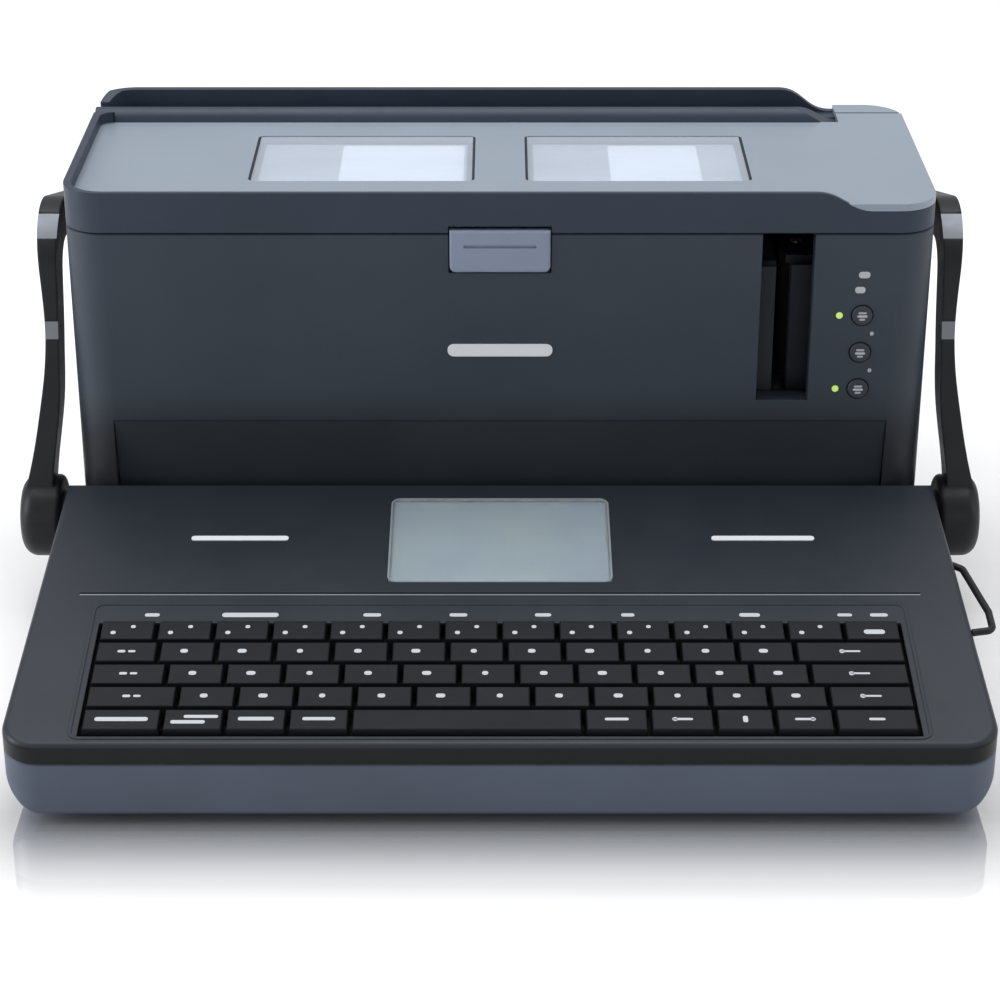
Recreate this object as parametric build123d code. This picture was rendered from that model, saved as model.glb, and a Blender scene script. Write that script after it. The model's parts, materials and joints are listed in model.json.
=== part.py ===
from build123d import *

import math
import os

# Desktop label maker: slanted keyboard deck in front of a lidded printer housing, with a carrying bail.
#
# Frame: +X to the right, +Y to the back, +Z up, origin at the middle of the bounding box's bottom.
# All lengths are millimetres.  Depths named y are measured from the front edge of the tray.

# ---- driving dimensions -------------------------------------------------------------------
TRAY_W = 318.6          # keyboard tray, width along its front edge
TRAY_BACK_W = 312.0     # keyboard tray, width where it meets the housing
BODY_W = 304.0          # printer housing, overall width
TRAY_D = 146.0          # front edge of the tray to the front face of the housing
BODY_D = 114.0          # front to back of the housing
TOTAL_D = 328.2         # front edge of the tray to the back of the carrying bar
DECK_Z = 29.2           # top of the deck at its front edge
DECK_RISE = 22.8        # how much higher the deck is at its back edge
FOOT_H = 3.0            # rubber feet
WALL = 2.6              # moulded wall
FLOOR_Z = FOOT_H + WALL  # inner face of the floor
SEAM_Z = 22.0           # seam between the base and the upper covers
RIM_H = 7.0             # height of the deck's side rim
COVER_TOP = 146.5       # top of the front and rear covers
LID_Z = 147.0           # underside of the lid
PLATE_Z = 155.0         # top of the lid's structural plate
PANEL_Z = 157.5         # top of the pale panel on the lid
RIM_TOP = 161.5         # top of the raised rim
BACK_TOP = 164.5        # top of the wall behind the lid
LEDGE_Y = 250.5         # front edge of the ledge on that wall
PLINTH_X, PLINTH_Z = 138.0, 76.0   # half width and top edge of the dark band under the front face
CORNER_R = 14.0         # housing corners in plan
TRAY_R = 12.0           # tray front corners in plan
TUMBLE_W, TUMBLE_H = 13.0, 17.0   # how far the tray's sides curve in and up from its floor
KEY_PITCH = 19.07       # key to key along a row
ROW_PITCH = 11.7        # row to row
KEYS_W = 267.0          # key field, left to right
KEY_GAP = 1.0           # gap between neighbouring caps
FIRST_ROW = 10.6        # middle of the front row, along the deck
BUTTON_X = 127.0        # column of front buttons
BUTTON_ZS = {"power_button": 116.5, "feed_button": 102.5, "wireless_button": 88.6}
BUTTON_R = 3.6
LATCH_W, LATCH_H, LATCH_Z = 35.0, 15.4, 140.4
SPLIT_Y = 176.0         # joint between the front and the rear cover
SLOT_X0, SLOT_X1, SLOT_Z0, SLOT_Z1 = 91.0, 109.4, 84.0, COVER_TOP
WINDOW_X, WINDOW_W, WINDOW_D, WINDOW_Y = 49.0, 80.0, 51.0, 196.5
RIM_END_X, RIM_RUN = 109.0, 20.0   # the raised rim starts to run down here, over this length
REAR_END_X = 106.0      # the same, for the wall behind the lid
CAP_X = 127.0           # left end of the pale cap at the right rear corner
LID_PIVOT_Y, LID_PIVOT_Z, LID_BARREL_R = 244.0, 156.0, 5.5
PANEL_Y = 238.0         # rear edge of the pale panel, in front of the hinge barrel
EAR_X, EAR_R = 98.0, 3.4   # the two hinge ears, either side of the middle
PIN_R = 2.0
RUN_GAP = 0.05          # radial running clearance of every pin and shaft
HUB_Y, HUB_Z, HUB_R = 156.0, 34.0, 15.0
ARM_IN, ARM_W = 157.5, 14.0
HUB_OUT = 174.5         # outermost point of the bail's arms
BAIL_R, BAIL_ANGLE = 176.0, 22.0   # hub to bar, and the bar's height angle at rest
BAR_Y = HUB_Y + BAIL_R * math.cos(math.radians(BAIL_ANGLE))
BAR_Z = HUB_Z + BAIL_R * math.sin(math.radians(BAIL_ANGLE))
BAR_R, GRIP_R = 6.0, 9.0
BANDS = ((103.0, 109.0), (136.0, 142.0))   # height limits of the metal bands let into each arm
BAND_T = 1.2            # their thickness
BORE_R = 5.0            # radius of the bail's pivot pins
TAPE_X = 100.0          # plane of the tape where it leaves
PLATEN_X, PLATEN_Y, PLATEN_R = 106.5, 181.0, 6.0
GEAR_MODULE = 0.8
PLATEN_TEETH, IDLER_TEETH, MOTOR_TEETH = 26, 30, 12
GEAR_Z, GEAR_T = 66.0, 5.0
SCREWS = [(x, y) for x in (-108.0, 0.0, 108.0) for y in (78.0, 152.5)]
SOCKET_X, SOCKET_Z = (84.0, 131.0), (28.0, 52.0)
BATTERY = (-140.0, -98.0, 186.0, 250.0, 8.0, 52.0)

FRONT = -TOTAL_D / 2
SLOPE = math.degrees(math.atan2(DECK_RISE, TRAY_D))
DECK = Plane(origin=(0, FRONT, DECK_Z), x_dir=(1, 0, 0),
             z_dir=(0, -math.sin(math.radians(SLOPE)), math.cos(math.radians(SLOPE))))
DECK_L = TRAY_D / math.cos(math.radians(SLOPE))

os.makedirs("parts", exist_ok=True)


# ---- helpers ------------------------------------------------------------------------------
def block(x0, x1, y0, y1, z0, z1):
    """A box by its limits, with depths measured from the front edge of the tray."""
    box = Box(x1 - x0, y1 - y0, z1 - z0)
    return Pos((x0 + x1) / 2, FRONT + (y0 + y1) / 2, (z0 + z1) / 2) * box


def deck_block(x0, x1, s0, s1, h0, h1):
    """A box on the slanted deck: s runs up the slope and h stands square to it."""
    box = Box(x1 - x0, s1 - s0, h1 - h0)
    return DECK.location * Pos((x0 + x1) / 2, (s0 + s1) / 2, (h0 + h1) / 2) * box


def rod_x(x0, x1, y, z, r):
    """A round bar along X."""
    return Pos((x0 + x1) / 2, FRONT + y, z) * Rot(0, 90, 0) * Cylinder(r, x1 - x0)


def rod_y(x, y0, y1, z, r):
    """A round bar along Y."""
    return Pos(x, FRONT + (y0 + y1) / 2, z) * Rot(90, 0, 0) * Cylinder(r, y1 - y0)


def rod_z(x, y, z0, z1, r):
    """A round bar along Z."""
    return Pos(x, FRONT + y, (z0 + z1) / 2) * Cylinder(r, z1 - z0)


def side_prism(points, x0, x1):
    """A solid of constant section in X, from (y, z) points."""
    face = Plane.YZ * make_face(Polyline([(FRONT + y, z) for y, z in points], close=True))
    return Pos(x0, 0, 0) * extrude(face, amount=x1 - x0, dir=(1, 0, 0))


def rounded_plan(x_half, y0, y1, r_front, r_back):
    """A plan outline whose front and back corners have their own radii."""
    base = Rectangle(2 * x_half, y1 - y0)
    sketch = Pos(0, FRONT + (y0 + y1) / 2) * base
    middle = FRONT + (y0 + y1) / 2
    for radius, side in ((r_front, -1), (r_back, 1)):
        if radius > 0:
            corners = [v for v in sketch.vertices() if (v.Y - middle) * side > 0]
            sketch = fillet(corners, radius)
    return sketch


def tray_plan(inset, y1=TRAY_D):
    """Plan of the keyboard tray, set in from its outside, slightly narrower at the back."""
    def half(y):
        return TRAY_W / 2 - (TRAY_W - TRAY_BACK_W) / 2 * y / TRAY_D - inset
    points = [(-half(inset), FRONT + inset), (half(inset), FRONT + inset), (half(y1), FRONT + y1),
              (-half(y1), FRONT + y1)]
    sketch = make_face(Polyline(points, close=True))
    return fillet(sketch.vertices().sort_by(Axis.Y)[:2], max(TRAY_R - inset, 1.5))


def tray_section(inset, y0, y1):
    """Front-view shape of the tray: straight sides that curve in towards the floor."""
    x, z = TRAY_W / 2 + 1 - inset, FOOT_H + inset
    side = EllipticalCenterArc((x - TUMBLE_W, z + TUMBLE_H), TUMBLE_W, TUMBLE_H, 270, arc_size=90)
    start, end = side @ 0, side @ 1
    outline = [side, Line(end, (x, 80)), Line((x, 80), (0, 80)), Line((0, 80), (0, z)), Line((0, z), start)]
    face = make_face(outline)
    half = extrude(Plane.XZ * face, amount=y1 - y0, dir=(0, 1, 0))
    return Pos(0, FRONT + y0, 0) * (half + mirror(half, about=Plane.YZ))


def prism(sketch, z0, z1):
    """Raise a plan outline between two heights."""
    return Pos(0, 0, z0) * extrude(sketch, amount=z1 - z0, dir=(0, 0, 1))


def below_deck(drop, y0=-5.0, y1=TRAY_D + 5.0):
    """Everything under a plane that lies a given distance below the deck."""
    rate = DECK_RISE / TRAY_D
    z_front, z_back = DECK_Z - drop + rate * y0, DECK_Z - drop + rate * y1
    return side_prism([(y0, -5), (y1, -5), (y1, z_back), (y0, z_front)], -200, 200)


def save(name, shape):
    """Write one sub-part, as a group when it has several solids."""
    solids = shape.solids()
    result = solids[0] if len(solids) == 1 else Compound(children=solids)
    export_step(result, f"parts/{name}.step")


# ---- base and deck ------------------------------------------------------------------------
def base_tray():
    """Bottom shell: a shallow slanted tray in front and the floor of the housing behind."""
    front = prism(tray_plan(0), FOOT_H, 60) & tray_section(0, -5, TRAY_D + 5)
    low = [e for e in front.edges() if e.center().Z < FOOT_H + 0.01 and e.center().Y < FRONT + 0.01]
    front = chamfer(low, 1.5)
    front &= below_deck(RIM_H)
    top = [e for e in front.edges()
           if e.center().Z > DECK_Z - RIM_H - 0.5 and e.center().Y < FRONT + TRAY_D - 1
           and abs(e.center().Z - DECK_Z + RIM_H - (e.center().Y - FRONT) * DECK_RISE / TRAY_D) < 0.3]
    front = chamfer(top, 0.8)
    hollow = prism(tray_plan(WALL, TRAY_D - WALL), FLOOR_Z, 60) & tray_section(WALL, 0, TRAY_D)
    rear = prism(rounded_plan(BODY_W / 2, TRAY_D - 6, TRAY_D + BODY_D, 0, CORNER_R), FOOT_H, SEAM_Z)
    rear_plan = rounded_plan(BODY_W / 2 - WALL, TRAY_D - 8, TRAY_D + BODY_D - WALL, 0, CORNER_R - WALL)
    rear_hollow = prism(rear_plan, FLOOR_Z, SEAM_Z + 5)
    lip = prism(rounded_plan(BODY_W / 2, TRAY_D - 6, TRAY_D, 0, 0), SEAM_Z, SEAM_Z + 5)
    tray = (front + rear) - hollow - rear_hollow - (lip & block(-140, 140, 120, TRAY_D, 5, 60))
    gate = block(-140, 140, TRAY_D - 12, TRAY_D + 4, FLOOR_Z, 38)
    tray -= gate
    tray -= block(BATTERY[0] - 2.3, BATTERY[1] + 2.3, 255, 262, FLOOR_Z, SEAM_Z + 1)
    for x, y in SCREWS:
        tray -= rod_z(x, y, 0, FLOOR_Z - 0.8, 2.4) + rod_z(x, y, 0, FLOOR_Z + 1, 1.2)
    return tray


def keyboard_deck():
    """Top shell of the tray, with the key opening, the display opening and a standing rim."""
    outer = prism(tray_plan(0, TRAY_D - 0.3), 0, 60)
    outer = (outer & below_deck(0)) - below_deck(RIM_H)
    top_edges = [e for e in outer.edges() if e.center().Z > DECK_Z - 0.5
                 and abs(e.center().Z - DECK_Z - (e.center().Y - FRONT) * DECK_RISE / TRAY_D) < 0.3]
    outer = fillet(top_edges, 2.2)
    inner = prism(tray_plan(WALL, TRAY_D - 0.3 - WALL), 0, 60)
    inner &= below_deck(2.4)
    deck = outer - inner
    half = KEYS_W / 2 + 0.8
    deck -= deck_block(-half, half, FIRST_ROW - 6.3, FIRST_ROW + 4 * ROW_PITCH + 6.3, -5, 5)
    deck -= deck_block(-38.5, 38.5, 87, 137, -5, 5)
    groove = deck_block(-143, 143, 80.2, 80.9, -0.7, 1)
    return deck - groove


def key_membrane():
    """Moulded rubber sheet with one dome under every key."""
    half = KEYS_W / 2 + 3
    sheet = deck_block(-half, half, FIRST_ROW - 7.5, FIRST_ROW + 4 * ROW_PITCH + 8, -7.0, -6.2)
    domes = []
    for row in range(5):
        for x0, x1 in key_spans(row):
            top = DECK.location * Pos((x0 + x1) / 2, FIRST_ROW + row * ROW_PITCH, -5.7)
            domes.append(top * Cone(4.0, 2.6, 1.0))
    return sheet + domes


def keyboard_board():
    """Circuit board under the rubber sheet."""
    half = KEYS_W / 2 + 4
    return deck_block(-half, half, FIRST_ROW - 7.5, FIRST_ROW + 4 * ROW_PITCH + 10, -8.6, -7.0)


def display_window():
    """Clear window let into the deck over the display."""
    pane = deck_block(-38.4, 38.4, 87.1, 136.9, -1.6, -0.1)
    corners = [e for e in pane.edges() if abs(abs(e.center().X) - 38.4) < 0.01 and e.length < 3]
    return fillet(corners, 2.0)


def display_panel():
    """Liquid crystal panel and its frame under the window."""
    frame = deck_block(-43, 43, 83, 139, -7.5, -2.5)
    glass = deck_block(-37.5, 37.5, 88, 136, -2.5, -1.7)
    return frame + glass


def key_widths(row):
    """Cap widths of one row in key pitches, front row first, left to right."""
    if row == 0:
        return [1.35, 1.05, 1.05, 1.05, 3.9, 1.1, 1.1, 1.0, 1.0, 1.4]
    first = {1: 1.55, 2: 1.3, 3: 1.1, 4: 1.0}[row]
    letters = {1: 11, 2: 11, 3: 11, 4: 12}[row]
    return [first] + [1.0] * letters + [14.0 - first - letters]


def key_spans(row):
    """Left and right limits of every cap in a row."""
    spans, x = [], -KEYS_W / 2
    for width in key_widths(row):
        spans.append((x + KEY_GAP / 2, x + width * KEY_PITCH - KEY_GAP / 2))
        x += width * KEY_PITCH
    return spans


def key_cap(x0, x1, row):
    """One cap with sloping sides and a softened top edge."""
    width, depth, height = x1 - x0, ROW_PITCH - KEY_GAP, 4.2
    cap = Pos(0, 0, -height / 2) * extrude(Rectangle(width, depth), amount=height, taper=6)
    top = cap.faces().sort_by(Axis.Z)[-1]
    cap = fillet(top.edges(), 0.5)
    place = Pos((x0 + x1) / 2, FIRST_ROW + row * ROW_PITCH, 0.0)
    return DECK.location * place * cap


def key_group(row, first, last):
    """Caps first..last of a row as one group."""
    return Compound(children=[key_cap(x0, x1, row) for x0, x1 in key_spans(row)[first:last]])


# ---- housing ------------------------------------------------------------------------------
def cover_ring():
    """Walls of the printer housing, before it is split into the front and the rear cover."""
    y0, y1 = TRAY_D + 0.3, TRAY_D + BODY_D
    outer = prism(rounded_plan(BODY_W / 2, y0, y1, CORNER_R, CORNER_R), SEAM_Z, COVER_TOP)
    outer = chamfer(outer.edges().group_by(Axis.Z)[-1], 0.6)
    inner = prism(rounded_plan(BODY_W / 2 - WALL, y0 + WALL, y1 - WALL, CORNER_R - WALL, CORNER_R - WALL),
                  SEAM_Z - 1, COVER_TOP + 1)
    return outer - inner


def front_cover():
    """Front face with both front corners: tape slot, latch recess, buttons and light windows."""
    cover = cover_ring() & block(-160, 160, 140, SPLIT_Y, 0, 200)
    cover -= block(-PLINTH_X, PLINTH_X, 140, TRAY_D + 4, SEAM_Z - 1, PLINTH_Z)
    cover -= block(SLOT_X0, SLOT_X1, 140, 152, SLOT_Z0, SLOT_Z1)
    cover -= block(-LATCH_W / 2 - 0.4, LATCH_W / 2 + 0.4, 140, 152, LATCH_Z - LATCH_H / 2 - 0.4, 150)
    for z in BUTTON_ZS.values():
        cover -= rod_y(BUTTON_X, 140, 152, z, BUTTON_R + 0.35)
    for z in (BUTTON_ZS["power_button"], BUTTON_ZS["wireless_button"]):
        cover -= rod_y(BUTTON_X - 8, 140, 152, z, 1.2)
    for side in (-1, 1):
        cover -= rod_x(side * 160 - 15, side * 160 + 15, HUB_Y, HUB_Z, BORE_R)
    chute = block(SLOT_X0 - 1.6, SLOT_X1 + 1.6, 148.5, 155, SLOT_Z0 - 1.6, SLOT_Z1)
    chute -= block(SLOT_X0, SLOT_X1, 140, 160, SLOT_Z0, SLOT_Z1 + 1)
    chute -= block(SLOT_X1 - 1, SLOT_X1 + 2, 153.5, 156, SLOT_Z0 - 2, SLOT_Z1 + 1)
    return cover + chute


def front_plinth():
    """Dark sloping band under the front face."""
    section = [(TRAY_D + 0.3, PLINTH_Z - 0.2), (TRAY_D + 3.1, PLINTH_Z - 0.2),
               (TRAY_D + 8.5, 44), (TRAY_D + 5.7, 44)]
    return side_prism(section, -PLINTH_X + 0.2, PLINTH_X - 0.2)


def rear_cover():
    """Side and back walls behind the seam, open at the top for the lid."""
    cover = cover_ring() & block(-160, 160, SPLIT_Y + 0.3, 270, 0, 200)
    x0, x1, _, _, z0, z1 = BATTERY
    cover -= block(x0 - 2.3, x1 + 2.3, 250, 262, SEAM_Z - 1, z1 + 4.3)
    cover -= block(*SOCKET_X, 250, 262, *SOCKET_Z)
    for row in range(6):
        cover -= block(-60, 60, 258.8, 262, 96 + row * 6.0, 98.4 + row * 6.0)
    return cover


def socket_panel():
    """Inset plate in the back wall round the two sockets."""
    panel = block(*SOCKET_X, 257.4, 259.6, *SOCKET_Z)
    panel -= rod_y(120, 250, 262, 40, 5.2)
    return panel - block(89.5, 102.5, 250, 262, 34, 46)


def top_strip(top):
    """Wall that stands on the back of the case behind the lid, with a ledge towards the hinge."""
    plan = rounded_plan(BODY_W / 2, 200, TRAY_D + BODY_D, 0, CORNER_R)
    strip = prism(plan, COVER_TOP, top) & block(-160, 160, LEDGE_Y, 270, 0, 200)
    return strip - block(-149, 149, 250, 257.4, 0, 150)


def hinge_strip():
    """Raised strip behind the lid with the two ears that hold the hinge pins."""
    strip = top_strip(BACK_TOP) & block(-160, CAP_X, 240, 270, 0, 200)
    wall = rounded_plan(BODY_W / 2 - 3.2, 200, TRAY_D + BODY_D - 3.2, 0, CORNER_R - 3.2)
    strip -= prism(wall, PANEL_Z - 2, 200) & block(-160, 160, LEDGE_Y - 1, 270, 0, 200)
    strip -= rim_slope(PANEL_Z - 1.5, REAR_END_X, BACK_TOP)
    run_down = [(LEDGE_Y - 5, RIM_TOP), (LEDGE_Y - 5, BACK_TOP + 2), (LEDGE_Y + 5, BACK_TOP + 2),
                (LEDGE_Y + 5, BACK_TOP), (LEDGE_Y, RIM_TOP)]
    strip -= side_prism(run_down, -160, -140)
    for side in (-1, 1):
        x0, x1 = side * EAR_X - 2.2, side * EAR_X + 2.2
        ear = rod_x(x0, x1, LID_PIVOT_Y, LID_PIVOT_Z, EAR_R)
        ear += block(x0, x1, LID_PIVOT_Y - 2.5, LID_PIVOT_Y + 2.5, COVER_TOP + 0.3, LID_PIVOT_Z)
        ear += block(x0, x1, LID_PIVOT_Y - 2.5, 258, COVER_TOP + 0.3, COVER_TOP + 3.3)
        strip += ear - rod_x(x0 - 1, x1 + 1, LID_PIVOT_Y, LID_PIVOT_Z, PIN_R)
    return strip


def corner_cap():
    """Pale fixed cap that carries the panel's colour round the right rear corner."""
    return top_strip(PANEL_Z) & block(CAP_X, 160, 240, 270, 0, 200)


def rim_slope(z, x=RIM_END_X, top=RIM_TOP):
    """The space above the right-hand end, under which a rim with the given top runs down in an S."""
    low, high = (x + RIM_RUN, z), (x, top)
    curve = Spline(low, high, tangents=((-1, 0), (-1, 0)))
    rest = Polyline([high, (x, top + 4), (200, top + 4), (200, z), low])
    outline = Plane.XZ * make_face([curve, rest])
    return Pos(0, FRONT + 290, 0) * extrude(outline, amount=170, dir=(0, -1, 0))


def lid_frame():
    """Hinged lid: skirt, structural plate with two window openings, and the raised rim."""
    y0 = TRAY_D + 0.3
    plan = rounded_plan(BODY_W / 2, y0, TRAY_D + BODY_D, CORNER_R, 0)
    lid = prism(plan, LID_Z, RIM_TOP) & block(-160, 160, 140, PANEL_Y, 0, 200)
    lid += prism(plan, LID_Z, LID_PIVOT_Z) & block(-160, 160, PANEL_Y, LID_PIVOT_Y, 0, 200)
    lid += rod_x(-BODY_W / 2, CAP_X, LID_PIVOT_Y, LID_PIVOT_Z, LID_BARREL_R)
    inside = rounded_plan(BODY_W / 2 - WALL, y0 + WALL, LID_PIVOT_Y - 7, CORNER_R - WALL, 0)
    lid -= prism(inside, LID_Z - 1, PLATE_Z - 2)
    tray = rounded_plan(BODY_W / 2 - 2.8, y0 + 2.0, PANEL_Y, CORNER_R - 2.4, 5)
    lid -= prism(tray, PLATE_Z, RIM_TOP + 1)
    lid -= rim_slope(PLATE_Z)
    lid -= block(CAP_X, 160, LID_PIVOT_Y - LID_BARREL_R - 1, 270, 140, 170)
    for side in (-1, 1):
        lid -= block(side * WINDOW_X - 37, side * WINDOW_X + 37, WINDOW_Y - 22.5, WINDOW_Y + 22.5, 140, 170)
        lid -= hinge_space(side)
    lid -= block(-LATCH_W / 2 - 0.4, LATCH_W / 2 + 0.4, 140, y0 + WALL + 0.1, LID_Z - 1, 149.4)
    catch = block(-9, 9, y0 + 4.6, y0 + 6.2, 141.5, PLATE_Z - 1)
    catch += block(-9, 9, y0 + 6.2, y0 + 7.8, 141.5, 143.5)
    return lid + catch


def hinge_space(side):
    """Room for one hinge ear and the bore on each side of it."""
    notch = rod_x(side * EAR_X - 2.6, side * EAR_X + 2.6, LID_PIVOT_Y, LID_PIVOT_Z, EAR_R + 0.4)
    notch += block(side * EAR_X - 2.6, side * EAR_X + 2.6, LID_PIVOT_Y - 3.8, 270, 140, LID_PIVOT_Z + 2.7)
    return notch + rod_x(side * EAR_X - 9, side * EAR_X + 9, LID_PIVOT_Y, LID_PIVOT_Z, PIN_R + RUN_GAP)


def lid_panel():
    """Pale panel let into the lid, running out over the lid's right-hand end."""
    y0 = TRAY_D + 0.3
    inner = rounded_plan(BODY_W / 2 - 2.8, y0 + 2.0, PANEL_Y, CORNER_R - 2.4, 5)
    panel = prism(inner, PLATE_Z, PANEL_Z)
    right = prism(rounded_plan(BODY_W / 2, y0, LID_PIVOT_Y, CORNER_R, 0), PLATE_Z, PANEL_Z)
    right &= rim_slope(PLATE_Z)
    right -= block(RIM_END_X - 1, CAP_X, LID_PIVOT_Y - LID_BARREL_R, 270, 140, 170)
    barrel = rod_x(CAP_X, BODY_W / 2, LID_PIVOT_Y, LID_PIVOT_Z, LID_BARREL_R)
    barrel &= block(CAP_X, 160, 200, 270, 140, PANEL_Z)
    panel += right + barrel
    for side in (-1, 1):
        panel -= window_prism(side, 0.0, PLATE_Z - 1, PANEL_Z + 1)
    return panel


def window_prism(side, gap, z0, z1):
    """Rounded outline of one lid window."""
    outline = RectangleRounded(WINDOW_W - 2 * gap, WINDOW_D - 2 * gap, 2.5)
    return Pos(side * WINDOW_X, FRONT + WINDOW_Y, z0) * extrude(outline, amount=z1 - z0)


def lid_windows():
    """Translucent panes over the two cassettes."""
    return Compound(children=[window_prism(side, 0.0, PLATE_Z, PANEL_Z - 0.4) for side in (-1, 1)])


def lid_hinge_pins():
    """Two steel pins held in the hinge strip's ears."""
    pins = [rod_x(s * EAR_X - 7.6, s * EAR_X + 7.6, LID_PIVOT_Y, LID_PIVOT_Z, PIN_R) for s in (-1, 1)]
    return Compound(children=pins)


def lid_latch():
    """Push button on the front face that frees the lid, with a tongue behind it."""
    y0 = TRAY_D - 0.6
    body = block(-LATCH_W / 2, LATCH_W / 2, y0, y0 + 3, LATCH_Z - LATCH_H / 2, LATCH_Z + LATCH_H / 2)
    body = fillet(body.edges().filter_by(Axis.Y).group_by(Axis.Z)[0], 2.2)
    face = [e for e in body.edges() if abs(e.center().Y - FRONT - y0) < 0.01]
    body = fillet(face, 0.8)
    groove = block(-LATCH_W / 2 + 5, LATCH_W / 2 - 5, y0 - 1, y0 + 0.6, LATCH_Z + 1.4, LATCH_Z + 2.2)
    return body - groove


def front_button(z):
    """One round button with a flange behind the face."""
    cap = rod_y(BUTTON_X, TRAY_D - 0.5, TRAY_D + 3.4, z, BUTTON_R)
    cap = fillet(cap.edges().sort_by(Axis.Y)[0], 0.5)
    return cap + rod_y(BUTTON_X, TRAY_D + 3.2, TRAY_D + 4.2, z, BUTTON_R + 1.2)


def button_board():
    """Small board with three switches behind the front buttons."""
    board = block(BUTTON_X - 13, BUTTON_X + 12, TRAY_D + 9, TRAY_D + 10.6, 80, 138)
    for z in BUTTON_ZS.values():
        board += rod_y(BUTTON_X, TRAY_D + 5.6, TRAY_D + 9, z, 1.8)
    return board


def status_lights():
    """Light pipes beside the power and wireless buttons."""
    zs = (BUTTON_ZS["power_button"], BUTTON_ZS["wireless_button"])
    pipes = [rod_y(BUTTON_X - 8, TRAY_D + 0.1, TRAY_D + 9, z, 1.2) for z in zs]
    return Compound(children=pipes)


# ---- carrying bail ------------------------------------------------------------------------
def arm_points():
    """Centre line of one arm in (y, z), from the hub over the knee to the bar."""
    return [(HUB_Y, HUB_Z), (HUB_Y + 6, 95.0), (HUB_Y + 21, 141.5), (BAR_Y, BAR_Z)]


def arm_front_outline():
    """Front view of the right arm in (x, z): thin at the knee and bowed outwards round the hub."""
    outer = Spline((165.6, 156), (163.4, 122), (162.2, 100), (165.2, 78), (169.8, 56), (HUB_OUT, 34),
                   (171.8, 18))
    inner = Spline((164.6, 17), (163.6, 36), (161.6, 55), (158.6, 75), (ARM_IN, 95), (ARM_IN, 156))
    return make_face([outer, Line(outer @ 1, inner @ 0), inner, Line(inner @ 1, outer @ 0)])


def arm_blank():
    """The right arm with its hub and its sockets, before the metal bands are let in."""
    points = [(FRONT + y, z) for y, z in arm_points()]
    flat = Plane.YZ * trace(FilletPolyline(*points, radius=20), ARM_W)
    arm = Pos(ARM_IN - 1, 0, 0) * extrude(flat, amount=25, dir=(1, 0, 0))
    arm &= extrude(Plane.XZ * arm_front_outline(), amount=2 * TOTAL_D, both=True)
    hub = rod_x(ARM_IN + 2, HUB_OUT, HUB_Y, HUB_Z, HUB_R)
    hub = fillet(hub.edges().sort_by(Axis.X)[-1], 5.5)
    arm += fillet(hub.edges().sort_by(Axis.X)[0], 2.0)
    arm += rod_x(ARM_IN, HUB_OUT - 6, HUB_Y, HUB_Z, HUB_R - 6)
    arm += rod_x(ARM_IN, ARM_IN + 8, BAR_Y, BAR_Z, GRIP_R)
    arm -= rod_x(ARM_IN - 1, HUB_OUT + 1, HUB_Y, HUB_Z, BORE_R + RUN_GAP)
    arm -= rod_x(HUB_OUT - 3.5, HUB_OUT + 1, HUB_Y, HUB_Z, BORE_R + 2.8)
    return arm - rod_x(ARM_IN - 1, ARM_IN + 4, BAR_Y, BAR_Z, BAR_R)


def arm_bands(arm):
    """Skins of the right arm's front and outer faces at the two band heights."""
    inner = Pos(-BAND_T, BAND_T, 0) * arm
    bands = []
    for z0, z1 in BANDS:
        bands += ((arm & block(ARM_IN - 5, HUB_OUT + 5, HUB_Y - 10, HUB_Y + 36, z0, z1)) - inner).solids()
    return [band for band in bands if band.volume > 1]


def bail_arm(side):
    """One bowed arm with a round hub at the bottom and a socket for the bar at the top."""
    arm = arm_blank()
    for band in arm_bands(arm):
        arm -= band
    return arm if side > 0 else mirror(arm, about=Plane.YZ)


def bail_bar():
    """Metal tube between the two arms."""
    half = ARM_IN + 4
    return rod_x(-half, half, BAR_Y, BAR_Z, BAR_R) - rod_x(-half - 1, half + 1, BAR_Y, BAR_Z, BAR_R - 1.5)


def bail_grip():
    """Soft sleeve on the middle of the bar."""
    sleeve = rod_x(-62, 62, BAR_Y, BAR_Z, GRIP_R)
    sleeve = fillet(sleeve.edges(), 1.5)
    return sleeve - rod_x(-70, 70, BAR_Y, BAR_Z, BAR_R)


def bail_bands():
    """Bare metal bands let into the front and the outside of each arm."""
    right = arm_bands(arm_blank())
    return Compound(children=right + [mirror(band, about=Plane.YZ) for band in right])


def bail_pivots():
    """Shouldered pins that carry the hubs, with a head outside and a flange inside."""
    wall_in = BODY_W / 2 - WALL
    pin = rod_x(wall_in - 10, HUB_OUT - 3.2, HUB_Y, HUB_Z, BORE_R)
    pin += rod_x(wall_in - 10, wall_in - 7.5, HUB_Y, HUB_Z, BORE_R + 1.0)
    head = rod_x(HUB_OUT - 3.2, HUB_OUT - 1.6, HUB_Y, HUB_Z, BORE_R + 2.5)
    pin += chamfer(head.edges().sort_by(Axis.X)[-1], 0.5)
    return Compound(children=[pin, mirror(pin, about=Plane.YZ)])


def strap_loop():
    """Bent wire loop on the right-hand side of the deck rim, for a strap."""
    z, side = DECK_Z + 80 * DECK_RISE / TRAY_D - 3.4, TRAY_W / 2 - 2.5
    points = [(side, FRONT + 60, z - 1.5), (side + 8.5, FRONT + 62, z - 1.5), (side + 8.5, FRONT + 72, z),
              (side + 3.5, FRONT + 98, z + 3), (side - 2.0, FRONT + 102, z + 3.5)]
    path = FilletPolyline(*points, radius=3.0)
    section = Plane(origin=path @ 0, z_dir=path % 0) * Circle(1.25)
    wire = sweep(section, path=path)
    return wire - prism(tray_plan(0, TRAY_D - 0.3), 0, 60)


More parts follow.
